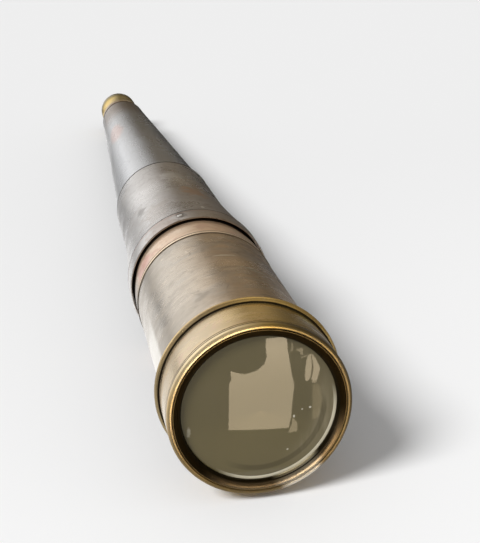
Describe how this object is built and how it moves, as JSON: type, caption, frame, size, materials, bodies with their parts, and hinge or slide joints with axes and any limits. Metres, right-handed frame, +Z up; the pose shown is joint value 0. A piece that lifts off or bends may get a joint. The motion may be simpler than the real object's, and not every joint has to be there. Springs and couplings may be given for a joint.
{
  "type": "spyglass",
  "caption": "One-draw brass spyglass: wide objective in a beaded band, flared bell, long smooth taper and a flared eye cup with a swinging dust shutter.",
  "frame": {"origin": "on the optical axis, in the plane of the bead's front shoulder, where a push-on lens cap stops", "axes": "+Y along the optical axis from the objective to the eye, +Z up as the closed spyglass lies, +X to the right seen from in front of the objective"},
  "size_m": [0.0698, 0.5524, 0.0698],
  "materials": {
    "polished_brass": "polished brass gone warm, fine turning marks and small nicks",
    "brown_brass": "brown patina over brass with scratches that run round the tube",
    "pink_brass": "pinkish brown patina, satin",
    "silver_grey": "worn silver-grey plating with brown stains and small pits",
    "gunmetal": "smooth dark gunmetal patina, satin",
    "bright_draw": "bright drawn brass with fine lengthwise rub marks",
    "dull_brass": "dull inner brass",
    "blackened": "matt blackened brass, rubbed brown at its edges",
    "optical_glass": "polished optical glass, faintly grey-olive",
    "steel": "small worn steel parts"
  },
  "bodies": {
    "barrel": {"objective_bezel": "polished_brass", "objective_cell": "blackened", "crown_lens": "optical_glass", "lens_spacer": "steel", "flint_lens": "optical_glass", "lens_retaining_ring": "blackened", "front_band": "polished_brass", "bead_ring": "polished_brass", "objective_tube": "brown_brass", "objective_baffle": "blackened", "tube_collar": "pink_brass", "mouth_ring": "silver_grey", "mouth_screws": "steel", "barrel_bell": "silver_grey", "bell_baffle": "blackened", "cone_joint_ring": "dull_brass", "cone_barrel": "gunmetal", "guide_bulkhead": "dull_brass", "guide_tube": "dull_brass", "draw_collar": "polished_brass", "collar_screws": "steel", "guide_liner": "dull_brass"},
    "draw": {"draw_tube": "bright_draw", "draw_stop_ring": "dull_brass", "erector_tube": "dull_brass", "erector_front_cell": "blackened", "erector_front_lens": "optical_glass", "erector_stop": "blackened", "erector_rear_cell": "blackened", "erector_rear_lens": "optical_glass", "eyepiece_tube": "dull_brass", "field_lens": "optical_glass", "field_lens_ring": "blackened", "field_stop": "blackened", "eye_lens": "optical_glass", "eye_lens_cell": "blackened", "eye_cup": "polished_brass", "shutter_pivot": "steel", "shutter_stops": "steel"},
    "shutter": {"dust_shutter": "dull_brass"}
  },
  "joints": [
    {"name": "draw_slide", "type": "slide", "parent": "barrel", "child": "draw", "axis": [0, 1, 0], "range_m": [0, 0.15]},
    {"name": "shutter_swing", "type": "hinge", "parent": "draw", "child": "shutter", "pos_m": [0, 0.5305, 0.0076], "axis": [0, -1, 0], "range_deg": [0, 65.7]}
  ]
}
